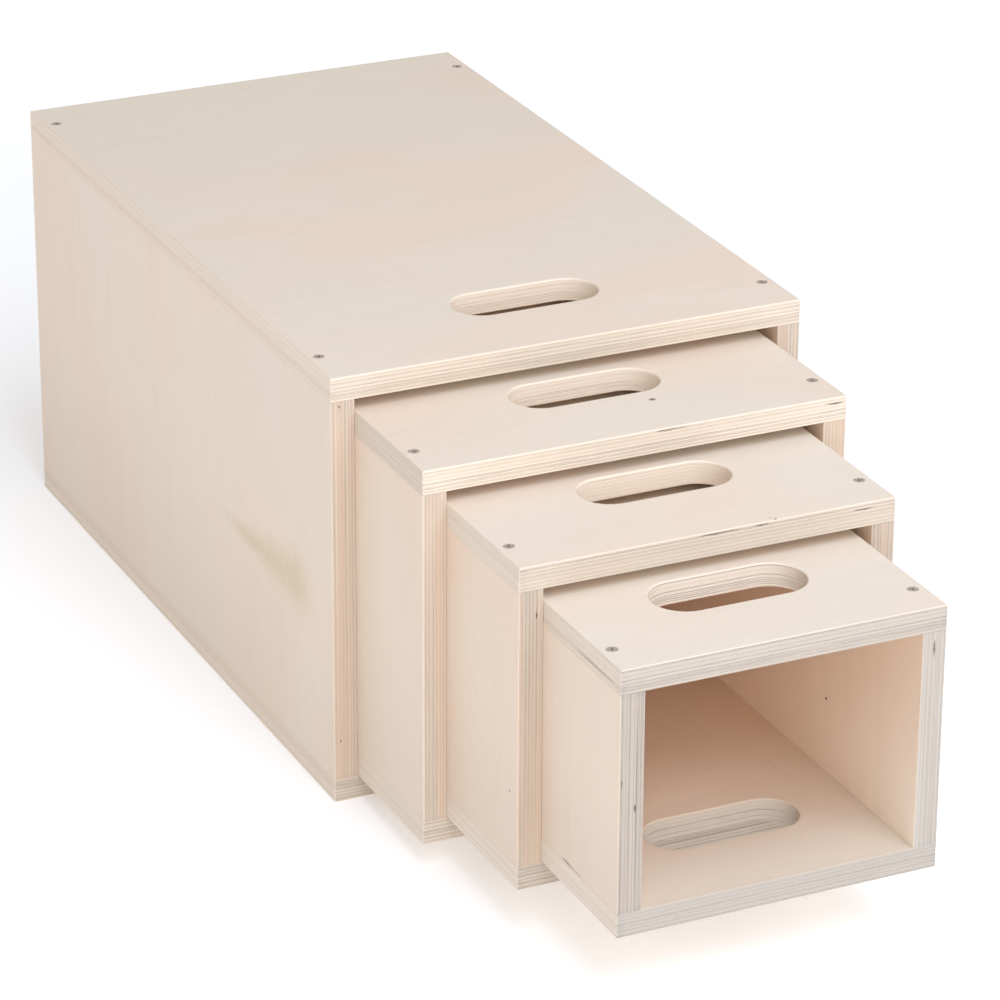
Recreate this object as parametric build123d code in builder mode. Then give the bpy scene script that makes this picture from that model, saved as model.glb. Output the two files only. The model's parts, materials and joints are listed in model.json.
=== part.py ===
from build123d import *
import os
from dataclasses import dataclass

# A nest of plywood crates, each pulled part of the way out of the one around it.
# Every crate is a box of plain boards, closed at the back and open at the front, with a hand slot
# through its top and its bottom board. The top and bottom boards lie over the ends of the two side
# boards and are screwed into them. The back board is glued in between the other four.
# Millimetres. The origin is the centre of the outer crate's underside, the open ends face -Y
# and +Z is up.

crate_names = ("outer_crate", "second_crate", "third_crate", "inner_crate")

# The outer crate, outside
crate_width = 372.0
crate_height = 333.0
crate_length = 625.0
board_thickness = 18.0

# How one crate fits in the next
side_clearance = 3.5  # on each side, when the inner crate is centred
headroom = 9.0  # between the inner crate's top and the roof over it
back_clearance = 1.0  # behind the inner crate, when its front is flush
resting_gap = 0.1  # where the inner crate lies on the floor and against the left side
pull_out = 117.0  # how far each crate stands out of the one around it

# The hand slots
slot_length = 115.0
top_slot_widths = (45.0, 45.0, 45.0, 49.0)  # each crate's
bottom_slot_width = 45.0
slot_setbacks = (88.0, 89.0, 91.0, 86.0)  # each crate's front edge to its slots' centres
slot_shifts = (5.0, 1.0, 3.0, 1.0)  # each crate's slots, to the right of its middle
slot_ease = 1.5  # radius on the slot's edges

edge_ease = 1.0  # radius on the crate's outside edges

# The countersunk wood screws, and how they sit in the boards
screw_length = 50.0
screw_diameter = 4.0
screw_point = 6.0
head_diameter = 8.0
head_rim = 0.2  # straight edge above the head's cone
head_recess = 0.2  # depth of the head below the board's face
drive_span = 4.0  # the cross in the head
drive_width = 0.9
drive_depth = 1.8
front_screw_setbacks = (43.0, 35.0, 36.0, 32.0)  # each crate's front edge to the screws' axes
back_screw_setback = 38.0  # every crate's back edge to the screws' axes
clearance_fit = 0.25  # round the shank, in the board under the head
pilot_fit = 0.05  # round the thread, in the board that it bites
pilot_spare = 2.0  # depth of the pilot hole below the point

shank_radius = screw_diameter / 2
head_radius = head_diameter / 2
countersink_radius = head_radius + head_rim + head_recess
pilot_depth = screw_length + head_recess - board_thickness + pilot_spare


@dataclass
class Crate:
    """Where one crate lies: its outside size, its centre line and its underside."""

    name: str
    width: float
    height: float
    length: float
    x: float
    y: float
    z: float
    top_slot_width: float
    slot_shift: float
    slot_setback: float
    front_screw_setback: float

    @property
    def top_face(self):
        """On the top board, facing up."""
        return Plane((self.x, self.y, self.z + self.height), x_dir=(1, 0, 0), z_dir=(0, 0, 1))

    @property
    def under_face(self):
        """On the bottom board, facing down. Its own y axis still runs to the back."""
        return Plane((self.x, self.y, self.z), x_dir=(-1, 0, 0), z_dir=(0, 0, -1))

    @property
    def side_spacing(self):
        """Between the middles of the two side boards."""
        return self.width - board_thickness

    @property
    def slot_row(self):
        """The slots' centres, from the middle of the crate's length."""
        return self.slot_setback - self.length / 2

    @property
    def screw_rows(self):
        """The front and the back screws, from the middle of the crate's length."""
        return (self.front_screw_setback - self.length / 2, self.length / 2 - back_screw_setback)

    @property
    def screw_places(self):
        """All four screws, from the middle of the top or the bottom face."""
        return [(side * self.side_spacing / 2, row) for side in (-1, 1) for row in self.screw_rows]

    @property
    def inside_height(self):
        return self.height - 2 * board_thickness


def crate_in_nest(step):
    """The crate that many steps in from the outer one."""
    length = crate_length - step * (board_thickness + back_clearance)
    front = -crate_length / 2 - step * pull_out
    return Crate(
        name=crate_names[step],
        width=crate_width - step * 2 * (board_thickness + side_clearance),
        height=crate_height - step * (2 * board_thickness + headroom),
        length=length,
        x=-step * (side_clearance - resting_gap),
        y=front + length / 2,
        z=step * (board_thickness + resting_gap),
        top_slot_width=top_slot_widths[step],
        slot_shift=slot_shifts[step],
        slot_setback=slot_setbacks[step],
        front_screw_setback=front_screw_setbacks[step],
    )


def slotted_board(crate, face, slot_width, name):
    """The top or bottom board, from its outside face inwards."""
    outwards = Axis(face.origin, face.z_dir)
    with BuildPart() as board:
        with BuildSketch(face):
            Rectangle(crate.width, crate.length)
        extrude(amount=-board_thickness)
        outside = board.faces().sort_by(outwards)[-1]
        fillet(outside.edges() + board.edges().filter_by(Axis.Z), edge_ease)

        with BuildSketch(face):
            with Locations((crate.slot_shift * face.x_dir.X, crate.slot_row)):
                SlotOverall(slot_length, slot_width)
        extrude(amount=-board_thickness, mode=Mode.SUBTRACT)
        slot_edges = board.edges(Select.LAST).filter_by(Axis.Z, reverse=True)
        fillet(slot_edges, slot_ease)

        with Locations(face):
            with Locations(*crate.screw_places):
                CounterSinkHole(
                    radius=shank_radius + clearance_fit,
                    counter_sink_radius=countersink_radius,
                    depth=board_thickness,
                    counter_sink_angle=90,
                )
    board.part.label = name
    export_step(board.part, f"parts/{name}.step")


def side_board(crate, side, name):
    """A side board, between the top and the bottom one. side is -1 for the left and 1 for the right."""
    middle = crate.x + side * crate.side_spacing / 2
    lower_edge = crate.z + board_thickness
    upper_end = Plane((middle, crate.y, lower_edge + crate.inside_height), z_dir=(0, 0, 1))
    lower_end = Plane((middle, crate.y, lower_edge), x_dir=(-1, 0, 0), z_dir=(0, 0, -1))
    with BuildPart() as board:
        with BuildSketch(Plane.XY.offset(lower_edge)):
            with Locations((middle, crate.y)):
                Rectangle(board_thickness, crate.length)
        extrude(amount=crate.inside_height)
        corners = board.edges().filter_by(Axis.Z).sort_by(Axis.X)
        fillet(corners[:2] if side < 0 else corners[-2:], edge_ease)

        with Locations(upper_end, lower_end):
            with Locations(*[(0, row) for row in crate.screw_rows]):
                Hole(radius=shank_radius + pilot_fit, depth=pilot_depth)
    board.part.label = name
    export_step(board.part, f"parts/{name}.step")


def back_board(crate, name):
    """The board that closes the back, between the other four and flush with their ends."""
    back = crate.y + crate.length / 2
    middle_height = crate.z + crate.height / 2
    with BuildPart() as board:
        with BuildSketch(Plane((crate.x, back, middle_height), x_dir=(1, 0, 0), z_dir=(0, -1, 0))):
            Rectangle(crate.width - 2 * board_thickness, crate.inside_height)
        extrude(amount=board_thickness)
    board.part.label = name
    export_step(board.part, f"parts/{name}.step")


def wood_screw():
    """One screw, with the flat of its head at the origin and its point down."""
    cone_end = head_rim + head_radius - shank_radius
    with BuildPart() as screw:
        with BuildSketch(Plane.XZ):
            with BuildLine():
                Polyline(
                    (0, 0),
                    (head_radius, 0),
                    (head_radius, -head_rim),
                    (shank_radius, -cone_end),
                    (shank_radius, screw_point - screw_length),
                    (0, -screw_length),
                    close=True,
                )
            make_face()
        revolve(axis=Axis.Z)
        with BuildSketch():
            Rectangle(drive_span, drive_width)
            Rectangle(drive_width, drive_span)
        extrude(amount=-drive_depth, mode=Mode.SUBTRACT)
    return screw.part


def screw_set(crate, face, name):
    """The screws through one board, each with its head just below the face."""
    one_screw = wood_screw()
    with BuildPart() as screws:
        with Locations(face.offset(-head_recess)):
            with Locations(*crate.screw_places):
                add(one_screw)
    screws.part.label = name
    export_step(screws.part, f"parts/{name}.step")


os.makedirs("parts", exist_ok=True)

for step in range(len(crate_names)):
    crate = crate_in_nest(step)
    slotted_board(crate, crate.top_face, crate.top_slot_width, f"{crate.name}_top_panel")
    slotted_board(crate, crate.under_face, bottom_slot_width, f"{crate.name}_bottom_panel")
    side_board(crate, -1, f"{crate.name}_left_side")
    side_board(crate, 1, f"{crate.name}_right_side")
    back_board(crate, f"{crate.name}_back_panel")
    screw_set(crate, crate.top_face, f"{crate.name}_top_screws")
    screw_set(crate, crate.under_face, f"{crate.name}_bottom_screws")
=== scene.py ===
"""A nest of four plywood crates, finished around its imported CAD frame.

Every board is built as real plywood: thirteen plies with glue lines between them, eased edges,
hand slots, countersinks, pilot holes and the odd void. The wood screws keep their CAD shape.
"""

import json
import math
from dataclasses import dataclass, field

import bmesh
import bpy
from mathutils import Matrix, Vector, noise
from mathutils.geometry import delaunay_2d_cdt


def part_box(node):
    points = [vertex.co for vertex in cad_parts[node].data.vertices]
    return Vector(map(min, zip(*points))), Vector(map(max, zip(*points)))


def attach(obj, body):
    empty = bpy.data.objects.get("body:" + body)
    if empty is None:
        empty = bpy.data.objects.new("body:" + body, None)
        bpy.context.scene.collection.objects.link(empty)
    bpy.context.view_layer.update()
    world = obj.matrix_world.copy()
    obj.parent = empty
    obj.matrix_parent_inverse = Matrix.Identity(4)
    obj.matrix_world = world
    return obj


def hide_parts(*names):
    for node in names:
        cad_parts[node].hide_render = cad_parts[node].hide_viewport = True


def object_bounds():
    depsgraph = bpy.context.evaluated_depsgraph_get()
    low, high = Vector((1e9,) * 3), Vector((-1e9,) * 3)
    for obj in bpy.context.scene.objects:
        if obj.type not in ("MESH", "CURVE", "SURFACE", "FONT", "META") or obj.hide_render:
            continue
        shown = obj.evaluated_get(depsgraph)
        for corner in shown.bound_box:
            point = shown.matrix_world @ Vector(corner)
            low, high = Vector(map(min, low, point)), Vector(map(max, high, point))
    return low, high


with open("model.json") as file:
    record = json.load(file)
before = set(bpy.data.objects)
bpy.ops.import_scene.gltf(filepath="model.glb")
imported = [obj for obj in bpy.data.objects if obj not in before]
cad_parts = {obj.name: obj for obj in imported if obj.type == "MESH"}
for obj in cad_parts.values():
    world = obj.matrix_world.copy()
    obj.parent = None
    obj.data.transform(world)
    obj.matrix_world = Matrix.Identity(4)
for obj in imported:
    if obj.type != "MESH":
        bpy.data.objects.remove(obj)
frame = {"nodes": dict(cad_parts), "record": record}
cad_low, cad_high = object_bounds()

bl_info = {
    "name": "Nesting plywood crates",
    "version": (1, 0, 0),
    "blender": (4, 5, 0),
    "location": "3D View > Sidebar > Crates",
    "description": "Boards, screws and studio of a nest of four plywood crates",
    "category": "Object",
}

MM = 0.001
CRATES = ("outer_crate", "second_crate", "third_crate", "inner_crate")
BODY_OF = {node: body for body, nodes in frame["record"]["behaviour"]["bodies"].items() for node in nodes}
FRONT, RIGHT, BACK, LEFT = range(4)  # a board's four edges, seen from its outside face

# How closely the boards' loops are drawn
EASE_STEPS = 3  # round an eased edge, from the wall to the face
CORNER_STEPS = 3  # round an upright edge
CORNER_MIN = 0.02 * MM  # least radius of an upright edge
SLOT_RUN_STEPS = 22  # along each straight of a hand slot
SLOT_ARC_STEPS = 22  # round each end of a hand slot
HOLE_STEPS = 20  # round a screw's hole
FRONT_PITCH = 4 * MM  # along the edge round the opening
EDGE_PITCH = 12 * MM  # along the other edges that show
JOINT_PITCH = 40 * MM  # along the edges in a joint

# How far the marks and the gaps reach into the wood
VOID_DEPTH = 1.3 * MM
EDGE_MARK_DEPTH = 2.5 * MM
FACE_MARK_DEPTH = 3 * MM
SEEN_PLY = 0.55  # share of a ply's thickness that a mark on the front edge fills, to each side
THIN_MARKS = {"seam": 0.3, "knot": 0.6}
LEFT_MARK = 0.36  # the same for a mark on the left edge


# Sizes and colours that a user would change


class BoardSizes(bpy.types.PropertyGroup):
    """How the boards are made."""

    plies: bpy.props.IntProperty(name="Plies", description="Layers in one board", default=13, min=3, max=21)
    outer_ease: bpy.props.FloatProperty(
        name="Outside ease", description="Sanded radius on outside edges", default=0.0010, unit="LENGTH",
        precision=5)
    inner_ease: bpy.props.FloatProperty(
        name="Inside ease", description="Sanded radius round the opening", default=0.0004, unit="LENGTH",
        precision=5)
    joint_ease: bpy.props.FloatProperty(
        name="Joint ease", description="Edge left by the saw in a butt joint", default=0.00012,
        unit="LENGTH", precision=5)
    slot_ease: bpy.props.FloatProperty(
        name="Slot ease", description="Sanded radius on the slot's edges", default=0.00128, unit="LENGTH",
        precision=5)
    groove_width: bpy.props.FloatProperty(
        name="Glue line", description="Half the width of a glue line", default=0.00006, unit="LENGTH",
        precision=5)
    groove_depth: bpy.props.FloatProperty(
        name="Glue line depth", description="How far a glue line lies below its plies", default=0.00010,
        unit="LENGTH", precision=5)
    saw_relief: bpy.props.FloatProperty(
        name="Saw relief", description="Unevenness of the sawn edges", default=0.00005, unit="LENGTH",
        precision=5)
    face_relief: bpy.props.FloatProperty(
        name="Face relief", description="Unevenness of the sanded faces", default=0.00008, unit="LENGTH",
        precision=5)
    countersink_radius: bpy.props.FloatProperty(
        name="Countersink", description="Radius of a countersink's mouth", default=0.0044, unit="LENGTH",
        precision=5)
    clearance_radius: bpy.props.FloatProperty(
        name="Clearance hole", description="Radius of the hole round the shank", default=0.00225,
        unit="LENGTH", precision=5)
    pilot_radius: bpy.props.FloatProperty(
        name="Pilot hole", description="Radius of the hole for the thread", default=0.00205, unit="LENGTH",
        precision=5)
    pilot_depth: bpy.props.FloatProperty(
        name="Pilot depth", description="Depth of the hole in a side board's end", default=0.0342,
        unit="LENGTH", precision=4)
    head_radius: bpy.props.FloatProperty(
        name="Screw head", description="Radius of a screw's head", default=0.004, unit="LENGTH", precision=4)


class WoodColours(bpy.types.PropertyGroup):
    """Colours of the plywood, as reflected light."""

    face: bpy.props.FloatVectorProperty(
        name="Face veneer", description="Sanded birch", subtype="COLOR", default=(0.83, 0.725, 0.605))
    blush: bpy.props.FloatVectorProperty(
        name="Blush", description="Pinker clouds in the veneer", subtype="COLOR",
        default=(0.84, 0.695, 0.572))
    grey: bpy.props.FloatVectorProperty(
        name="Grey cast", description="Greyer clouds in the veneer", subtype="COLOR",
        default=(0.805, 0.722, 0.615))
    # Painted shade: warm red-brown that stands in for light bounced round deep inside a crate; it also warms
    # the outside of the side boards
    painted_warm_shade: bpy.props.FloatVectorProperty(
        name="Sheltered", description="Veneer deep inside, which daylight hasn't bleached", subtype="COLOR",
        default=(0.93, 0.68, 0.50))
    streak: bpy.props.FloatVectorProperty(
        name="Streak", description="Darker streaks along the grain", subtype="COLOR",
        default=(0.68, 0.54, 0.41))
    pore: bpy.props.FloatVectorProperty(
        name="Pores", description="Short dashes along the grain", subtype="COLOR",
        default=(0.45, 0.33, 0.23))
    long_grain: bpy.props.FloatVectorProperty(
        name="Long grain", description="Plies cut along their grain", subtype="COLOR",
        default=(0.82, 0.715, 0.60))
    end_grain: bpy.props.FloatVectorProperty(
        name="End grain", description="Plies cut across their grain", subtype="COLOR",
        default=(0.70, 0.585, 0.475))
    # Painted light: warm bounce light on the side boards' front rims, in random patches
    tan: bpy.props.FloatVectorProperty(
        name="Yellowed edge", description="Sawn edge, darkened by age", subtype="COLOR",
        default=(0.58, 0.42, 0.305))
    weathered: bpy.props.FloatVectorProperty(
        name="Greyed edge", description="Sawn edge, greyed by handling", subtype="COLOR",
        default=(0.52, 0.505, 0.48))
    glue: bpy.props.FloatVectorProperty(
        name="Glue line", description="Glue between two plies", subtype="COLOR",
        default=(0.20, 0.17, 0.16))
    # Painted shade: the dark inside of a void in a ply, and of a pinhole
    void: bpy.props.FloatVectorProperty(
        name="Void", description="Inside a gap in a ply", subtype="COLOR", default=(0.10, 0.085, 0.075))
    knot: bpy.props.FloatVectorProperty(
        name="Knot", description="Small pin knots", subtype="COLOR", default=(0.16, 0.10, 0.07))
    smudge: bpy.props.FloatVectorProperty(
        name="Smudge", description="Tan mark on a side", subtype="COLOR", default=(0.65, 0.52, 0.32))


class SteelColours(bpy.types.PropertyGroup):
    """Colours of the wood screws."""

    zinc: bpy.props.FloatVectorProperty(
        name="Zinc", description="Dull zinc plating", subtype="COLOR", default=(0.60, 0.52, 0.43))
    tarnish: bpy.props.FloatVectorProperty(
        name="Tarnish", description="Darker blotches on the plating", subtype="COLOR",
        default=(0.30, 0.245, 0.19))


class StudioSettings(bpy.types.PropertyGroup):
    """Light, floor and camera."""

    dome: bpy.props.FloatProperty(name="Dome", description="Even light from all round", default=0.54, min=0)
    key: bpy.props.FloatProperty(
        name="Key", description="Large soft light overhead, in watts", default=60.0, min=0)
    front: bpy.props.FloatProperty(
        name="Front", description="Large soft light before the openings, in watts", default=64.0, min=0)
    floor: bpy.props.FloatProperty(
        name="Floor glow", description="Light that the floor itself gives far from the crates", default=0.55,
        min=0)
    azimuth: bpy.props.FloatProperty(
        name="Azimuth", description="Camera's turn round the crates", default=math.radians(-25.008),
        subtype="ANGLE")
    elevation: bpy.props.FloatProperty(
        name="Elevation", description="Camera's height angle", default=math.radians(23.975), subtype="ANGLE")
    roll: bpy.props.FloatProperty(
        name="Roll", description="Camera's tilt about its own line of sight", default=math.radians(0.293),
        subtype="ANGLE")
    distance: bpy.props.FloatProperty(
        name="Distance", description="Camera to its aim", default=3.4436, unit="LENGTH")
    lens: bpy.props.FloatProperty(name="Lens", description="Focal length in millimetres", default=164.59)
    aim: bpy.props.FloatVectorProperty(
        name="Aim", description="Camera's aim from the middle of the nest", subtype="TRANSLATION",
        default=(0.0049, -0.0085, -0.0126))


# Marks that single boards carry


@dataclass
class Mark:
    """One blemish. x runs from the board's left or lower end and y back from its front edge, in
    millimetres. It lies on the outside or inside face, or in a ply of the front or left edge, counted
    from the outside."""

    kind: str
    x: float
    y: float = 0.0
    length: float = 3.0  # along x
    breadth: float = 3.0  # along y
    where: str = "outside"
    ply: float = 0.0


MARKS = {
    "outer_crate_left_side": [
        Mark("smudge", 132, 68, 76, 80),
        Mark("smudge", 129, 108, 52, 120),
        Mark("smudge", 127, 160, 26, 130),
        Mark("knot", 31, 0, 3, where="front", ply=3),
        Mark("knot", 293, 0, 3, where="front", ply=4),
    ],
    "second_crate_top_panel": [
        Mark("void", 190, length=26, where="front", ply=1),
        Mark("void", 320, length=14, where="front", ply=3),
        Mark("knot", 200, 50, 7.0, 5.0),
    ],
    "third_crate_top_panel": [
        Mark("void", 150, length=34, where="front", ply=1),
        Mark("void", 182, length=12, where="front", ply=1),
        Mark("void", 262, length=18, where="front", ply=3),
        Mark("crack", 191, 5, 8, 0.7),
        Mark("knot", 193, 1.5, 2.5, 2.0),
    ],
    "third_crate_left_side": [
        Mark("void", 188, length=6, where="front", ply=9),
        Mark("knot", 53, 13, 2.4, 2.4),
    ],
    "inner_crate_top_panel": [
        Mark("seam", 0, 37, breadth=78, where="left", ply=9.0),
    ],
    "inner_crate_left_side": [
        Mark("void", 97, length=7, where="front", ply=1),
        Mark("void", 77, length=6, where="front", ply=8),
        Mark("crack", 2, 78, 2.6, 16),
        Mark("crack", 1.5, 66, 1.6, 36),
        Mark("seam", 81, length=170, where="front", ply=8.5),
    ],
    "inner_crate_right_side": [
        Mark("void", 149, length=14, where="front", ply=6),
        Mark("pinhole", 56, 128, 3.0, 3.0, where="inside"),
    ],
    "inner_crate_bottom_panel": [
        Mark("flame", 196, 146, 5, 36, where="inside"),
        Mark("flame", 190, 150, 3.5, 24, where="inside"),
        Mark("flame", 199, 128, 4.5, 26, where="inside"),
        Mark("streak", 118, 150, 10, 2, where="inside"),
    ],
}


# Boards as places: local x runs along the face grain, y across it and z out of the outside face


@dataclass
class Board:
    """One board's place, taken from its CAD node."""

    node: str
    grain: Vector
    across: Vector
    outwards: Vector
    front: int  # which of its edges lies round the crate's opening, or -1
    joints: tuple  # edges that are butted against or between other boards
    seed: float
    middle: Vector = field(init=False)
    half: Vector = field(init=False)

    def __post_init__(self):
        low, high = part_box(self.node)
        self.middle = (low + high) / 2
        reach = high - low
        self.half = Vector([abs(axis.dot(reach)) / 2 for axis in (self.grain, self.across, self.outwards)])

    @property
    def crate(self):
        return self.node.rsplit("_", 2)[0]

    @property
    def front_sign(self):
        return 1 if self.front == BACK else -1

    @property
    def matrix(self):
        turn = Matrix((self.grain, self.across, self.outwards)).transposed().to_4x4()
        return Matrix.Translation(self.middle) @ turn

    def local(self, point):
        """A point of the row frame in the board's own frame."""
        return self.matrix.inverted() @ Vector(point)

    def spot(self, mark, plies):
        """The middle and the radii of a mark in the board's own frame."""
        x = mark.x * MM - self.half.x
        y = self.front_sign * (self.half.y - mark.y * MM)
        along, back = mark.length * MM / 2, mark.breadth * MM / 2
        if mark.where in ("outside", "inside"):
            z = self.half.z if mark.where == "outside" else -self.half.z
            return Vector((x, y, z)), Vector((along, back, FACE_MARK_DEPTH))
        ply_depth = 2 * self.half.z / plies
        middle = Vector((x, y, self.half.z - (mark.ply + 0.5) * ply_depth))
        if mark.where == "left":
            return middle, Vector((EDGE_MARK_DEPTH, back, LEFT_MARK * ply_depth))
        thin = THIN_MARKS.get(mark.kind, SEEN_PLY) * ply_depth
        return middle, Vector((along, EDGE_MARK_DEPTH, thin))


def all_boards(*kinds):
    """The boards of those kinds, crate by crate."""
    x, y, z = Vector((1, 0, 0)), Vector((0, 1, 0)), Vector((0, 0, 1))
    lay = {
        "top_panel": (x, y, z, FRONT, ()),
        "bottom_panel": (x, -y, -z, BACK, ()),
        "left_side": (z, y, -x, FRONT, (LEFT, RIGHT)),
        "right_side": (z, -y, x, BACK, (LEFT, RIGHT)),
        "back_panel": (z, x, y, -1, (FRONT, RIGHT, BACK, LEFT)),
    }
    order = tuple(lay)
    for number, crate in enumerate(CRATES):
        for kind in kinds:
            seed = 7.3 * number + 31.7 * order.index(kind) + 3.1
            yield Board(f"{crate}_{kind}", *lay[kind], seed)


def hand_slot(board, side_margin=25 * MM, nearest=50 * MM, farthest=130 * MM, rounding=1.45 * MM):
    """The middle and the half sizes of the hand slot in the board's own frame. They are read off its
    walls on the CAD node, between the rounded edges of the two faces."""
    to_local = board.matrix.inverted()
    wall = []
    for vert in frame["nodes"][board.node].data.vertices:
        place = to_local @ vert.co
        setback = board.half.y - place.y * board.front_sign
        if (abs(place.z) < board.half.z - rounding and abs(place.x) < board.half.x - side_margin
                and nearest < setback < farthest):
            wall.append(place.xy)
    if not wall:
        raise RuntimeError(f"{board.node}: no hand slot was found")
    low, high = (Vector([pick(place[k] for place in wall) for k in range(2)]) for pick in (min, max))
    return (low + high) / 2, (high - low) / 2


def screw_axes(board):
    """Where the screws of this crate's set for the board stand, in the board's own frame."""
    radius = bpy.context.scene.crate_boards.head_radius
    low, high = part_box(board.node.replace("panel", "screws"))
    for x in (low.x + radius, high.x - radius):
        for y in (low.y + radius, high.y - radius):
            place = board.local((x, y, board.middle.z))
            yield place.x, place.y


# Mesh work


@dataclass
class Level:
    """One loop's height in the board. turn is the angle of a rounded edge, from 0 at the wall to a
    right angle at the face."""

    z: float
    side: int = 0  # 1 near the outside face, -1 near the inside face, 0 between
    turn: float = 0.0
    groove: bool = False
    ply: int = -1

    def sink(self, radius):
        """How far this loop lies in from the wall, for that edge radius."""
        return radius * (1 - math.cos(self.turn)) if self.side else 0.0

    def height(self, radius):
        return self.z - self.side * radius * (1 - math.sin(self.turn)) if self.side else self.z


def loop_levels(half_thickness, sizes):
    """The levels of a board, from its inside face to its outside face."""
    turns = [math.pi / 2 * k / EASE_STEPS for k in range(EASE_STEPS + 1)]
    levels = [Level(-half_thickness, -1, turn) for turn in reversed(turns)]
    ply_depth = 2 * half_thickness / sizes.plies
    for k in range(1, sizes.plies):
        z = -half_thickness + k * ply_depth
        from_outside = sizes.plies - 1 - k
        levels += [
            Level(z - sizes.groove_width, ply=from_outside + 1),
            Level(z, groove=True),
            Level(z + sizes.groove_width, ply=from_outside),
        ]
    return levels + [Level(half_thickness, 1, turn) for turn in turns]


def spread(length, pitch, end=1.5 * MM):
    """Fractions along one edge: one close to each end, and even steps between."""
    steps = max(2, round((length - 2 * end) / pitch))
    return [(end + (length - 2 * end) * k / steps) / length for k in range(steps + 1)]


def rim_loop(board, level, sizes, radii, plan_radius, stations, voids):
    """The loop round a board at one level, anticlockwise from its front left corner."""
    half_x, half_y = board.half.x, board.half.y
    sink = [level.sink(radius) for radius in radii[level.side]]
    low = (-half_x + sink[LEFT], -half_y + sink[FRONT])
    high = (half_x - sink[RIGHT], half_y - sink[BACK])
    corners = ((low[0], low[1]), (high[0], low[1]), (high[0], high[1]), (low[0], high[1]))
    along = ((1, 0), (0, 1), (-1, 0), (0, -1))
    points = []
    for side in range(4):
        (x0, y0), (x1, y1) = corners[side], corners[(side + 1) % 4]
        ux, uy = along[side]
        inward = (-uy, ux)
        before = max(CORNER_MIN, plan_radius - max(sink[side - 1], sink[side]))
        after = max(CORNER_MIN, plan_radius - max(sink[(side + 1) % 4], sink[side]))
        start = (x0 + ux * before, y0 + uy * before)
        run = abs(x1 - x0) + abs(y1 - y0) - before - after
        for fraction in stations[side]:
            s = run * fraction
            x, y = start[0] + ux * s, start[1] + uy * s
            radius = radii[level.side][side]
            wave = noise.noise((x * 40 + board.seed, y * 40, side * 5.0 + level.side))
            radius *= 1 + 0.10 * wave
            inset = level.sink(radius) - sink[side]
            if not level.side:
                rough = noise.noise((x * 90, y * 90 + board.seed, level.ply * 3.7 + side))
                inset += sizes.saw_relief * (1 + rough) / 2
                if level.groove:
                    inset += sizes.groove_depth
                for void, (middle, reach) in voids:
                    if side == board.front and level.ply == void.ply:
                        off = (x - middle.x) / reach.x
                        inset += VOID_DEPTH * max(0.0, 1 - off ** 4)
            points.append((x + inward[0] * inset, y + inward[1] * inset, level.height(radius)))
        # The corner that follows this side
        centre = (x1 - ux * after - uy * after, y1 - uy * after + ux * after)
        radius_here, radius_next = radii[level.side][side], radii[level.side][(side + 1) % 4]
        for k in range(CORNER_STEPS + 1):
            part = k / CORNER_STEPS
            angle = math.pi / 2 * (side - 1 + part)
            radius = radius_here + (radius_next - radius_here) * part
            points.append((centre[0] + after * math.cos(angle), centre[1] + after * math.sin(angle),
                           level.height(radius)))
    return points


def slot_loop(board, level, sizes, middle, half):
    """The loop round the hand slot at one level."""
    bend = half.y
    straight = half.x - bend
    outline = []  # x, y and the direction into the wood
    for end in (1, -1):
        for k in range(SLOT_RUN_STEPS):
            x = -end * straight + end * 2 * straight * k / SLOT_RUN_STEPS
            outline.append((x, -end * bend, 0, -end))
        for k in range(SLOT_ARC_STEPS):
            angle = -end * math.pi / 2 + math.pi * k / SLOT_ARC_STEPS
            nx, ny = math.cos(angle), math.sin(angle)
            outline.append((end * straight + bend * nx, bend * ny, nx, ny))
    points = []
    for x, y, nx, ny in outline:
        wave = noise.noise((x * 60 + board.seed, y * 60, 9.0 + level.side))
        radius = sizes.slot_ease * (0.99 + 0.03 * wave)
        inset = level.sink(radius)
        if not level.side:
            rough = noise.noise((x * 120, y * 120 + board.seed, level.ply * 2.9))
            inset += sizes.saw_relief * (1 + rough) / 2 + sizes.groove_depth * level.groove
        points.append((middle[0] + x + nx * inset, middle[1] + y + ny * inset, level.height(radius)))
    return points


def round_loop(x, y, z, radius):
    turns = [2 * math.pi / HOLE_STEPS * k for k in range(HOLE_STEPS)]
    return [(x + radius * math.cos(turn), y + radius * math.sin(turn), z) for turn in turns]


def join_loops(mesh, loops):
    """Quads between each loop and the next. Returns the first and the last loop's vertices."""
    rows = [[mesh.verts.new(point) for point in loop] for loop in loops]
    for below, above in zip(rows, rows[1:]):
        for k in range(len(below)):
            after = (k + 1) % len(below)
            mesh.faces.new((below[k], below[after], above[after], above[k]))
    return rows[0], rows[-1]


def inside(x, y, loop):
    """Whether a point lies inside a closed loop of vertices."""
    odd = False
    for a, b in zip(loop, loop[1:] + loop[:1]):
        if (a.co.y > y) != (b.co.y > y):
            crossing = a.co.x + (b.co.x - a.co.x) * (y - a.co.y) / (b.co.y - a.co.y)
            odd ^= x < crossing
    return odd


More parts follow.
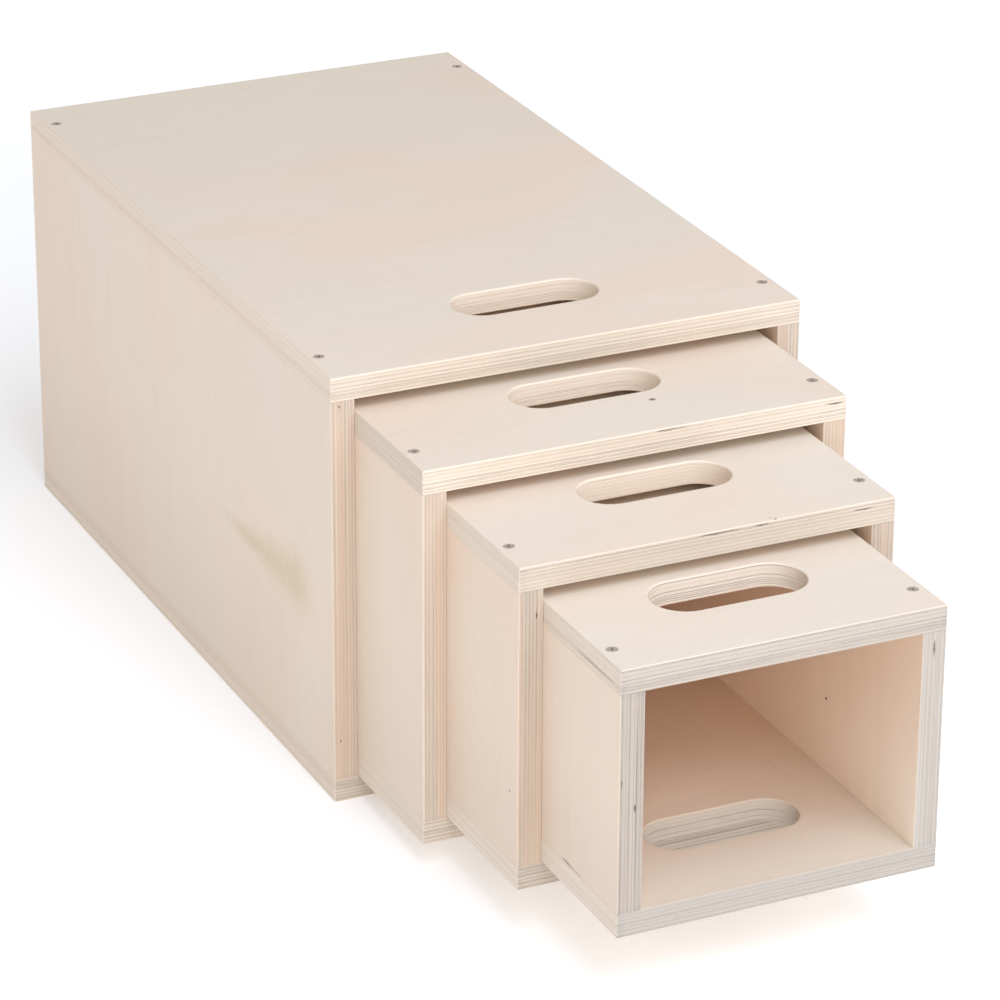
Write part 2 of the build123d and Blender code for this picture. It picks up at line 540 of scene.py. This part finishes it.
def fill_face(mesh, board, rim, holes, sign, sizes, pitch=20 * MM, keep_off=6 * MM):
    """Fills one face between its rim and its holes, with a faint unevenness between them."""
    loops = [rim, *holes]
    verts = [vert for loop in loops for vert in loop]
    edges, owner, first = [], [], 0
    for number, loop in enumerate(loops):
        edges += [(first + k, first + (k + 1) % len(loop)) for k in range(len(loop))]
        owner += [number] * len(loop)
        first += len(loop)
    bounds = []
    for hole in holes:
        xs, ys = [vert.co.x for vert in hole], [vert.co.y for vert in hole]
        bounds.append((min(xs) - keep_off, max(xs) + keep_off, min(ys) - keep_off, max(ys) + keep_off))
    columns, rows = (max(2, round(2 * reach / pitch)) for reach in board.half.xy)
    for i in range(1, columns):
        for j in range(1, rows):
            x = board.half.x * (2 * i / columns - 1)
            y = board.half.y * (2 * j / rows - 1)
            if any(x0 < x < x1 and y0 < y < y1 for x0, x1, y0, y1 in bounds):
                continue
            wave = noise.noise((x * 14 + board.seed, y * 7, 3.0 * sign))
            z = sign * (board.half.z - sizes.face_relief * (1 + wave) / 2)
            verts.append(mesh.verts.new((x, y, z)))
            owner.append(-1)
    flat = [Vector((vert.co.x, vert.co.y)) for vert in verts]
    _, _, triangles, origins, _, _ = delaunay_2d_cdt(flat, edges, [], 0, 1e-8)
    for triangle in triangles:
        ids = [origins[k][0] for k in triangle]
        owners = {owner[k] for k in ids}
        if len(owners) == 1 and owners != {-1}:
            loop = loops[owners.pop()]
            x = sum(flat[k].x for k in ids) / 3
            y = sum(flat[k].y for k in ids) / 3
            if inside(x, y, loop) != (loop is rim):
                continue
        mesh.faces.new([verts[k] for k in ids])


def board_mesh(board, sizes, slotted):
    """The board as one closed mesh in its own frame."""
    outer = [sizes.joint_ease if side in board.joints else sizes.outer_ease for side in range(4)]
    inner = [sizes.inner_ease if side == board.front else sizes.joint_ease for side in range(4)]
    radii = {1: outer, 0: outer, -1: inner}
    plan_radius = sizes.joint_ease if board.joints else sizes.outer_ease
    pitch = {side: JOINT_PITCH if side in board.joints else EDGE_PITCH for side in range(4)}
    if board.front >= 0:
        pitch[board.front] = FRONT_PITCH
    reach = {FRONT: board.half.x, BACK: board.half.x, LEFT: board.half.y, RIGHT: board.half.y}
    stations = [spread(2 * reach[side], pitch[side]) for side in range(4)]
    voids = [
        (mark, board.spot(mark, sizes.plies))
        for mark in MARKS.get(board.node, ())
        if mark.kind == "void" and mark.where == "front"
    ]
    levels = loop_levels(board.half.z, sizes)
    mesh = bmesh.new()
    rims = join_loops(
        mesh, [rim_loop(board, level, sizes, radii, plan_radius, stations, voids) for level in levels])
    holes = []
    if slotted:
        slot = hand_slot(board)
        holes.append(join_loops(mesh, [slot_loop(board, level, sizes, *slot) for level in levels]))
        cone = sizes.countersink_radius - sizes.clearance_radius
        for x, y in screw_axes(board):
            holes.append(join_loops(mesh, [
                round_loop(x, y, -board.half.z, sizes.clearance_radius),
                round_loop(x, y, board.half.z - cone, sizes.clearance_radius),
                round_loop(x, y, board.half.z, sizes.countersink_radius),
            ]))
    for sign, pick in ((-1, 0), (1, 1)):
        fill_face(mesh, board, rims[pick], [hole[pick] for hole in holes], sign, sizes)
    bmesh.ops.recalc_face_normals(mesh, faces=mesh.faces)
    data = bpy.data.meshes.new(board.node)
    mesh.to_mesh(data)
    mesh.free()
    return data


def soften(piece, sharp_angle=math.radians(40)):
    """Smooth shading that keeps the faces flat and the glue lines crisp."""
    for face in piece.data.polygons:
        face.use_smooth = True
    piece.data.set_sharp_from_angle(angle=sharp_angle)
    weighted = piece.modifiers.new("Flat faces", "WEIGHTED_NORMAL")
    weighted.keep_sharp = True
    weighted.weight = 80


def bore(piece, drills):
    """Cuts each (start, end, radius) hole out of a piece."""
    cutter_mesh = bmesh.new()
    for start, end, radius in drills:
        along = end - start
        place = Matrix.Translation((start + end) / 2) @ along.to_track_quat("Z", "Y").to_matrix().to_4x4()
        bmesh.ops.create_cone(
            cutter_mesh, cap_ends=True, segments=16, radius1=radius, radius2=radius, depth=along.length,
            matrix=place)
    data = bpy.data.meshes.new("drill")
    cutter_mesh.to_mesh(data)
    cutter_mesh.free()
    cutter = bpy.data.objects.new("drill", data)
    bpy.context.scene.collection.objects.link(cutter)
    cutter.matrix_world = piece.matrix_world
    cut = piece.modifiers.new("Bore", "BOOLEAN")
    cut.object, cut.operation, cut.solver = cutter, "DIFFERENCE", "EXACT"
    bpy.context.view_layer.update()
    graph = bpy.context.evaluated_depsgraph_get()
    bored = bpy.data.meshes.new_from_object(piece.evaluated_get(graph))
    if len(bored.polygons) <= len(piece.data.polygons):
        raise RuntimeError(f"{piece.name}: its holes weren't cut")
    piece.modifiers.remove(cut)
    piece.data = bored
    bpy.data.objects.remove(cutter)
    bpy.data.meshes.remove(data)


# Shader work


class Wire:
    """The output of a shader node. Arithmetic on wires and numbers adds Math nodes."""

    def __init__(self, recipe, socket):
        self.recipe, self.socket = recipe, socket

    def math(self, operation, *values):
        return self.recipe.add("ShaderNodeMath", {"operation": operation}, dict(enumerate(values)))

    def __add__(self, other):
        return self.math("ADD", self, other)

    def __sub__(self, other):
        return self.math("SUBTRACT", self, other)

    def __rsub__(self, other):
        return self.math("SUBTRACT", other, self)

    def __mul__(self, other):
        return self.math("MULTIPLY", self, other)

    def __truediv__(self, other):
        return self.math("DIVIDE", self, other)

    def __mod__(self, other):
        return self.math("FLOORED_MODULO", self, other)

    def __abs__(self):
        return self.math("ABSOLUTE", self)

    __radd__, __rmul__ = __add__, __mul__

    def floor(self):
        return self.math("FLOOR", self)

    def least(self, other):
        return self.math("MINIMUM", self, other)

    def most(self, other):
        return self.math("MAXIMUM", self, other)

    def rise(self, low, high):
        """0 up to low and 1 from high, smoothly. It falls where low is above high."""
        return self.recipe.add("ShaderNodeMapRange", {"interpolation_type": "SMOOTHSTEP"},
                               {"Value": self, "From Min": low, "From Max": high})


class Recipe:
    """A material's node tree."""

    def __init__(self, name):
        self.material = bpy.data.materials.new(name)
        self.material.use_nodes = True
        self.tree = self.material.node_tree
        self.tree.nodes.clear()

    def add(self, kind, settings=None, sockets=None, output=0):
        """Adds a node: its settings first, then values or wires for its sockets."""
        node = self.tree.nodes.new(kind)
        for name, value in (settings or {}).items():
            setattr(node, name, value)
        for name, value in (sockets or {}).items():
            if isinstance(value, Wire):
                self.tree.links.new(value.socket, node.inputs[name])
            else:
                node.inputs[name].default_value = value
        return Wire(self, node.outputs[output]) if node.outputs else None

    def vector(self, operation, *values, output=0):
        sockets = {k: value if isinstance(value, Wire) else tuple(value) for k, value in enumerate(values)}
        return self.add("ShaderNodeVectorMath", {"operation": operation}, sockets, output)

    def split(self, wire):
        return [self.add("ShaderNodeSeparateXYZ", None, {0: wire}, k) for k in range(3)]

    def join(self, x, y, z):
        return self.add("ShaderNodeCombineXYZ", None, {0: x, 1: y, 2: z})

    def noise(self, place, stretch, seed, detail=2.0, roughness=0.5, distortion=0.0):
        """Noise with the place scaled by stretch in each direction, about 0 to 1."""
        moved = self.vector("MULTIPLY_ADD", place, stretch, (seed, seed * 0.7 + 5, seed * 1.3 + 11))
        return self.add("ShaderNodeTexNoise", None, {
            "Vector": moved, "Scale": 1.0, "Detail": detail, "Roughness": roughness,
            "Distortion": distortion})

    def blend(self, amount, one, other, mode="MIX"):
        """Mixes two colours."""
        def colour(value):
            return value if isinstance(value, Wire) else (*value, 1.0)
        return self.add("ShaderNodeMix", {"data_type": "RGBA", "blend_type": mode, "clamp_factor": True},
                        {0: amount, 6: colour(one), 7: colour(other)}, 2)

    def shade(self, colour, factor):
        """A colour times a number."""
        return self.vector("MULTIPLY", colour, self.join(factor, factor, factor))

    def surface(self, **sockets):
        """Ends the tree in a Principled shader. Keywords are its sockets, spaces written as _."""
        shader = self.add("ShaderNodeBsdfPrincipled", None,
                          {name.replace("_", " "): value for name, value in sockets.items()})
        self.add("ShaderNodeOutputMaterial", None, {"Surface": shader})
        return self.material


@dataclass
class EdgeLook:
    """How one board's cut edges differ from plain plywood."""

    tone: float  # brightness of the sawn rim: the sheet's own tone, with painted shade that offsets the front light
    ends: float  # brightness of the edges at the sides and the back, painted lighter as the front light hardly reaches them
    slot: float  # brightness of the slot's walls: painted light above 1, painted shade below 1
    lines: float  # strength of the glue lines
    inside: float = 1.0  # brightness of the veneer inside the crate: painted light above 1, painted shade below 1
    tan: float = 0.0  # how much painted warm bounce light the front rim carries
    grey: float = 0.0  # how much the rim has greyed
    warmth: float = 0.0  # painted warm shade on the outside of a side board, which also darkens it


def edge_look(board):
    """Each crate was cut from its own sheet. Painted shade darkens the front rims against the front light
    and darkens the bottom boards, painted light brightens the slot walls and the side boards' inside faces,
    and the side boards' rims carry painted warm bounce light.
    """
    step = CRATES.index(board.crate)
    innermost = step == len(CRATES) - 1
    tone = (0.85, 0.91, 0.72, 0.57)[step]
    ends = (1.05, 0.90, 0.97, 0.99)[step]
    lines = (0.80, 0.90, 1.0, 1.7)[step]
    # Painted light on the slot walls, less in the innermost crate
    slot = 0.92 if innermost else 1.10
    # Side boards: rims painted darker, inside faces painted lighter, painted warm shade outside
    if "side" in board.node:
        grey = 0.45 if "right" in board.node else 0.20
        warmth = (0.10, 0.20, 0.32, 0.32)[step]
        return EdgeLook(tone * 0.82, ends, slot, lines, inside=1.08, tan=0.70 * (not innermost),
                        grey=grey * innermost, warmth=warmth)
    # Bottom boards: rims, slot walls and inside faces painted darker
    if "bottom" in board.node:
        tone *= 0.74 if innermost else 0.82
        return EdgeLook(tone, 0.98, slot * 0.70, lines, inside=0.85, grey=0.4 * innermost)
    return EdgeLook(tone, ends, slot, lines, grey=0.25 * innermost)


MARK_LOOKS = {  # kind: (colour, strength, softness of the border, raggedness)
    # void and pinhole are painted shade, the dark inside of a gap or a hole
    "void": ("void", 0.85, 0.35, 0.35),
    "knot": ("knot", 0.95, 0.60, 0.30),
    "pinhole": ("void", 1.0, 0.30, 0.10),
    "crack": ("knot", 0.55, 0.60, 0.50),
    "seam": ("glue", 0.85, 0.60, 0.40),
    "smudge": ("smudge", 0.55, 0.95, 0.25),
    "streak": ("streak", 0.55, 0.90, 0.60),
    "flame": ("streak", 0.60, 0.90, 0.70),
}


@dataclass
class Ground:
    """What every part of one board's material starts from."""

    recipe: Recipe
    place: Wire
    facing: list
    seed: float

    def noise(self, stretch, shift, *more):
        """Noise in the board's own frame. Each shift gives another pattern."""
        return self.recipe.noise(self.place, stretch, self.seed + shift, *more)

    def ply_number(self, number):
        """A random number for each ply."""
        return self.recipe.add(
            "ShaderNodeTexWhiteNoise", {"noise_dimensions": "1D"}, {"W": number + self.seed})


def veneer(ground, board, look, wood):
    """The colour, the streaks and the height of a board's faces: wide clouds, streaks along the grain,
    a faint peeled figure and pores, with painted warm shade and painted light and shade on the inside faces
    and on the side boards."""
    recipe = ground.recipe
    x, y, z = recipe.split(ground.place)
    cloud = ground.noise((4, 7, 50), 0, 2.0)
    second_cloud = ground.noise((3, 4, 50), 40, 1.0)
    streaks = ground.noise((5, 70, 60), 80, 3.0, 0.6)
    fibres = ground.noise((45, 1300, 100), 120, 2.0)
    peel = ground.noise((2.5, 9, 50), 160, 1.0, 0.4, 0.6)
    rings = recipe.add("ShaderNodeMath", {"operation": "SINE"}, {0: peel * 95})
    pores = ground.noise((230, 2300, 100), 200, 1.0).rise(0.68, 0.78)
    face = recipe.blend(cloud.rise(0.38, 0.62), wood.face, wood.blush)
    face = recipe.blend(second_cloud.rise(0.45, 0.68) * 0.8, face, wood.grey)
    face = recipe.blend(streaks.rise(0.52, 0.85) * 0.10, face, wood.streak)
    face = recipe.blend(pores * 0.22, face, wood.pore)

    # Painted shade: the inside faces turn warm red-brown further from the opening, in place of light bounced
    # round inside the crate, and take a painted brightness of their own
    indoors = z.rise(0.0, -2.0 * MM)
    painted_warm_shade = indoors
    painted_shading = 1.0 + indoors * (look.inside - 1.0)
    if board.front >= 0:
        from_opening = board.half.y - y * board.front_sign
        deep = from_opening.rise(0.0, 260 * MM)
        painted_warm_shade = indoors * deep
    if "side" in board.node:  # inside the crate painted light low down and painted warm shade high up, under the top board; outside it painted warm shade, and slightly darker towards the bottom
        upper = x.rise(-board.half.x, board.half.x)
        darker_low = x.rise(0.2 * board.half.x, -board.half.x) * (1 - indoors)
        painted_warm_shade = indoors * (deep * (upper * 0.45 + 0.52) + (1 - deep) * upper * 0.65)
        painted_warm_shade = painted_warm_shade + (1 - indoors) * look.warmth
        painted_shading = painted_shading * (
            1 - indoors * (upper * 0.20 - 0.04) - darker_low * 0.08 - (1 - indoors) * look.warmth * 0.14)
    face = recipe.blend(painted_warm_shade, face, wood.painted_warm_shade)
    face = recipe.shade(face, painted_shading * (1.0 + (fibres - 0.5) * 0.05 + rings * 0.006))
    return face, streaks, fibres * 0.5 - pores * 0.6 + streaks * 0.3


def cut_plies(ground, board, sizes, look, wood, slotted):
    """The colour and the height of a board's cut edges: plies in turn along and across the face grain,
    with glue lines between them."""
    recipe = ground.recipe
    x, y, z = recipe.split(ground.place)
    facing_x, facing_y, _ = ground.facing
    wander = ground.noise((9, 9, 0), 240, 2.0) - 0.5
    depth = (z / (2 * board.half.z) + 0.5) * sizes.plies + wander * 0.22
    ply = depth.floor()
    within = depth - ply
    crosswise = ply % 2
    cut_across = facing_x * facing_x * (1 - crosswise) + facing_y * facing_y * crosswise
    on_end = facing_x * facing_x * (board.grain.x != 0)
    own = ground.ply_number(ply)
    grit = ground.noise((900, 900, 900), 280, 2.0)
    thread = ground.noise((50, 50, 1400), 320, 2.0)
    edge = recipe.blend(cut_across * (1 - on_end * 0.7), wood.long_grain, wood.end_grain)
    edge = recipe.blend((own * 3.7 % 1).rise(0.55, 1.0) * 0.35, edge, wood.streak)
    edge = recipe.shade(edge, 1.0 + (own - 0.5) * 0.09 + (grit - 0.5) * 0.14 * cut_across
                        + (thread - 0.5) * 0.12)

    gap = within.least(1 - within)
    visible = ground.ply_number((depth + 0.5).floor() * 1.7).rise(0.50, 0.75)
    broken = ground.noise((22, 22, 700), 360, 2.0).rise(0.32, 0.60)
    line = gap.rise(0.13 + 0.10 * look.lines, 0.06) * (0.12 + visible * (0.20 + broken * 0.80))
    line = line * (look.lines - on_end * look.lines * 0.75)
    routed = z * 0
    if slotted:  # the router leaves the slot's walls smoother and paler than the saw leaves the rim
        middle, half = hand_slot(board)
        beyond = (abs(x - middle.x) - half.x).most(abs(y - middle.y) - half.y)
        routed = beyond.rise(4 * MM, 3 * MM)
        edge = recipe.blend(routed * 0.55, edge, wood.long_grain)
        line = line * (1 - routed * 0.25)
    edge = recipe.blend(line, edge, wood.glue)

    # Painted light and shade: the front rim darkened against the front light, the end and back edges kept
    # lighter, and the slot walls given their own painted brightness
    end_and_back_edges = on_end
    if board.front >= 0:
        end_and_back_edges = on_end.most((facing_y * -board.front_sign).rise(0.5, 0.9))
    sawn = (1 - routed) * (1 - end_and_back_edges)
    tone = end_and_back_edges * (look.ends - look.tone) + look.tone
    edge = recipe.shade(edge, routed * (look.slot - tone) + tone)
    # Painted warm bounce light on the side boards' front rims, in random patches
    bounce_tan_patches = ground.noise((3, 3, 190), 520, 1.0).rise(0.30, 0.70)
    edge = recipe.blend(sawn * bounce_tan_patches * look.tan, edge, wood.tan)
    edge = recipe.blend(sawn * look.grey, edge, wood.weathered)
    return edge, grit * cut_across + thread * 0.6 - line


def marked(ground, board, sizes, wood, colour):
    """The colour with the board's own marks on it."""
    recipe = ground.recipe
    raggedness = ground.noise((160, 160, 160), 440, 2.0) - 0.5
    for mark in MARKS.get(board.node, ()):
        shade, strength, softness, ragged = MARK_LOOKS[mark.kind]
        middle, radii = board.spot(mark, sizes.plies)
        off = recipe.vector("DIVIDE", recipe.vector("SUBTRACT", ground.place, middle), radii)
        distance = recipe.vector("LENGTH", off, output=1) + raggedness * ragged * 2
        amount = distance.rise(1.0, 1.0 - softness) * strength
        colour = recipe.blend(amount, colour, getattr(wood, shade))
    return colour


def plywood(board, sizes, wood, slotted):
    """Birch plywood for one board: veneer on its faces and plies on its edges."""
    recipe = Recipe(f"birch_plywood_{board.node}")
    place = recipe.add("ShaderNodeTexCoord", output="Object")
    facing = recipe.split(recipe.add("ShaderNodeTexCoord", output="Normal"))
    ground = Ground(recipe, place, facing, board.seed)
    look = edge_look(board)
    face, streaks, face_height = veneer(ground, board, look, wood)
    edge, edge_height = cut_plies(ground, board, sizes, look, wood, slotted)
    on_face = abs(facing[2]).rise(0.45, 0.85)
    colour = recipe.blend(on_face, edge, face)

    # The faces' borders, rubbed and slightly dirtied
    x, y, _ = recipe.split(place)
    from_edge = (board.half.x - abs(x)).least(board.half.y - abs(y))
    rub = from_edge.rise(3.0 * MM, 0.0) * on_face * ground.noise((30, 30, 30), 400).rise(0.4, 0.7)
    colour = recipe.blend(rub * 0.18, colour, wood.streak)
    colour = marked(ground, board, sizes, wood, colour)

    height = face_height * on_face + edge_height * (1 - on_face)
    bump = recipe.add("ShaderNodeBump", None, {"Strength": 0.25, "Distance": 0.00012, "Height": height})
    roughness = 0.50 + (streaks - 0.5) * 0.12 + (1 - on_face) * 0.14
    return recipe.surface(Base_Color=colour, Roughness=roughness, Normal=bump)


def zinc_steel(steel):
    """Dull zinc plating with tarnish and fine scratches."""
    recipe = Recipe("zinc_steel")
    place = recipe.add("ShaderNodeTexCoord", output="Object")
    blotches = recipe.noise(place, (900, 900, 900), 4.0, 3.0, 0.6)
    scratches = recipe.noise(place, (6000, 500, 500), 9.0, 2.0)
    colour = recipe.blend(blotches.rise(0.42, 0.66), steel.zinc, steel.tarnish)
    roughness = 0.42 + blotches * 0.25
    bump = recipe.add("ShaderNodeBump", None, {
        "Strength": 0.3, "Distance": 0.00005, "Height": scratches + blotches * 0.5})
    return recipe.surface(Base_Color=colour, Metallic=0.35, Roughness=roughness, Normal=bump)


# Operators


def place_board(context, board, name, slotted=False, drills=()):
    """Builds a board, sets it in its place in the frame and hides the CAD node behind it."""
    scene = context.scene
    piece = bpy.data.objects.new(name, board_mesh(board, scene.crate_boards, slotted))
    scene.collection.objects.link(piece)
    piece.matrix_world = board.matrix
    if drills:
        bore(piece, drills)
    soften(piece)
    piece.data.materials.append(plywood(board, scene.crate_boards, scene.crate_wood, slotted))
    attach(piece, BODY_OF[board.node])
    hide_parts(board.node)


class CRATES_OT_slotted_boards(bpy.types.Operator):
    """Build the top and bottom boards, with their hand slots and countersinks"""

    bl_idname = "crates.slotted_boards"
    bl_label = "Top and bottom boards"

    def execute(self, context):
        for board in all_boards("top_panel", "bottom_panel"):
            place_board(context, board, board.node.replace("panel", "board"), slotted=True)
        return {"FINISHED"}


class CRATES_OT_side_boards(bpy.types.Operator):
    """Build the side boards, with the pilot holes in their ends"""

    bl_idname = "crates.side_boards"
    bl_label = "Side boards"

    def execute(self, context):
        sizes = context.scene.crate_boards
        spare = 1 * MM
        for board in all_boards("left_side", "right_side"):
            low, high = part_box(f"{board.crate}_top_screws")
            drills = []
            for y_world in (low.y + sizes.head_radius, high.y - sizes.head_radius):
                y = board.local((board.middle.x, y_world, board.middle.z)).y
                for end in (-1, 1):
                    mouth = Vector((end * (board.half.x + spare), y, 0))
                    drills.append((mouth, mouth - Vector((end * (sizes.pilot_depth + spare), 0, 0)),
                                   sizes.pilot_radius))
            place_board(context, board, board.node.replace("side", "board"), drills=drills)
        return {"FINISHED"}


class CRATES_OT_back_boards(bpy.types.Operator):
    """Build the back boards, let in between the other four"""

    bl_idname = "crates.back_boards"
    bl_label = "Back boards"

    def execute(self, context):
        for board in all_boards("back_panel"):
            place_board(context, board, board.node.replace("panel", "board"))
        return {"FINISHED"}


class CRATES_OT_wood_screws(bpy.types.Operator):
    """Finish the countersunk wood screws"""

    bl_idname = "crates.wood_screws"
    bl_label = "Wood screws"

    def execute(self, context):
        steel = zinc_steel(context.scene.crate_steel)
        for name, node in frame["nodes"].items():
            if name.endswith("_screws"):
                node.data.materials.clear()
                node.data.materials.append(steel)
        return {"FINISHED"}


class CRATES_OT_studio(bpy.types.Operator):
    """Lay the pale floor, hang the soft lights and set up the camera"""

    bl_idname = "crates.studio"
    bl_label = "Studio"

    def execute(self, context):
        studio = context.scene.crate_studio
        self.lay_floor(context, studio)
        self.hang_lights(context, studio)
        self.set_camera(context, studio)
        context.scene.view_settings.view_transform = "Standard"
        return {"FINISHED"}

    def lay_floor(self, context, studio, reach=40.0, cells=12):
        mesh = bmesh.new()
        bmesh.ops.create_grid(mesh, x_segments=cells, y_segments=cells, size=reach)
        data = bpy.data.meshes.new("studio_floor")
        mesh.to_mesh(data)
        mesh.free()
        floor = bpy.data.objects.new("studio_floor", data)
        context.scene.collection.objects.link(floor)
        floor.location.z = cad_low.z - 0.2 * MM
        recipe = Recipe("pale_paper")
        place = recipe.add("ShaderNodeTexCoord", output="Object")
        away = recipe.vector("LENGTH", recipe.vector("SUBTRACT", place, (cad_low + cad_high) / 2), output=1)
        glow = recipe.blend(away.rise(0.7, 2.5), (0.45, 0.45, 0.46), (0.98, 0.99, 1.0))
        cloud = recipe.noise(place, (2, 2, 2), 1.0)
        white = recipe.blend(cloud, (0.90, 0.91, 0.925), (0.92, 0.93, 0.94))
        data.materials.append(recipe.surface(
            Base_Color=white, Roughness=0.9, Emission_Color=glow, Emission_Strength=studio.floor))

    def hang_lights(self, context, studio):
        world = bpy.data.worlds.new("studio_dome")
        world.use_nodes = True
        background = world.node_tree.nodes["Background"]
        background.inputs["Color"].default_value = (1.0, 0.975, 0.955, 1.0)
        background.inputs["Strength"].default_value = studio.dome
        context.scene.world = world
        centre = (cad_low + cad_high) / 2
        softboxes = {
            "key_light": (studio.key, Vector((0.25, -1.9, 2.7)), 2.4, (0.89, 0.98, 1.13)),
            "front_light": (studio.front, Vector((-0.6, -3.5, 0.7)), 2.4, (1.0, 0.97, 0.95)),
        }
        for name, (power, place, width, colour) in softboxes.items():
            light = bpy.data.lights.new(name, "AREA")
            light.shape, light.size = "SQUARE", width
            light.energy = power
            light.color = colour
            box = bpy.data.objects.new(name, light)
            context.scene.collection.objects.link(box)
            box.location = centre + place
            box.rotation_mode = "QUATERNION"
            box.rotation_quaternion = (-place).to_track_quat("-Z", "Y")

    def set_camera(self, context, studio):
        data = bpy.data.cameras.new("camera")
        data.sensor_width = 36.0
        data.lens = studio.lens
        camera = bpy.data.objects.new("camera", data)
        context.scene.collection.objects.link(camera)
        azimuth, elevation, roll = studio.azimuth, studio.elevation, studio.roll
        ahead = Vector((-math.sin(azimuth) * math.cos(elevation), math.cos(azimuth) * math.cos(elevation),
                        -math.sin(elevation)))
        level = Vector((math.cos(azimuth), math.sin(azimuth), 0))
        rise = level.cross(ahead)
        right = level * math.cos(roll) + rise * math.sin(roll)
        up = rise * math.cos(roll) - level * math.sin(roll)
        aim = (cad_low + cad_high) / 2 + Vector(studio.aim)
        turn = Matrix((right, up, -ahead)).transposed().to_4x4()
        camera.matrix_world = Matrix.Translation(aim - ahead * studio.distance) @ turn
        context.scene.camera = camera


class CRATES_PT_panel(bpy.types.Panel):
    """Lists the steps that build the nest of crates"""

    bl_idname = "CRATES_PT_panel"
    bl_label = "Nesting crates"
    bl_space_type = "VIEW_3D"
    bl_region_type = "UI"
    bl_category = "Crates"

    def draw(self, context):
        for step in STEPS:
            self.layout.operator(step.bl_idname)
        for name in GROUPS:
            group = getattr(context.scene, name)
            box = self.layout.box()
            for key in group.__annotations__:
                box.prop(group, key)


STEPS = (
    CRATES_OT_slotted_boards,
    CRATES_OT_side_boards,
    CRATES_OT_back_boards,
    CRATES_OT_wood_screws,
    CRATES_OT_studio,
)
GROUPS = {
    "crate_boards": BoardSizes,
    "crate_wood": WoodColours,
    "crate_steel": SteelColours,
    "crate_studio": StudioSettings,
}


def register():
    for name, group in GROUPS.items():
        bpy.utils.register_class(group)
        setattr(bpy.types.Scene, name, bpy.props.PointerProperty(type=group))
    for item in (*STEPS, CRATES_PT_panel):
        bpy.utils.register_class(item)


def unregister():
    for item in reversed((*STEPS, CRATES_PT_panel)):
        bpy.utils.unregister_class(item)
    for name, group in GROUPS.items():
        delattr(bpy.types.Scene, name)
        bpy.utils.unregister_class(group)


def main():
    register()
    for step in STEPS:
        family, name = step.bl_idname.split(".")
        getattr(getattr(bpy.ops, family), name)()


if __name__ == "__main__":
    main()
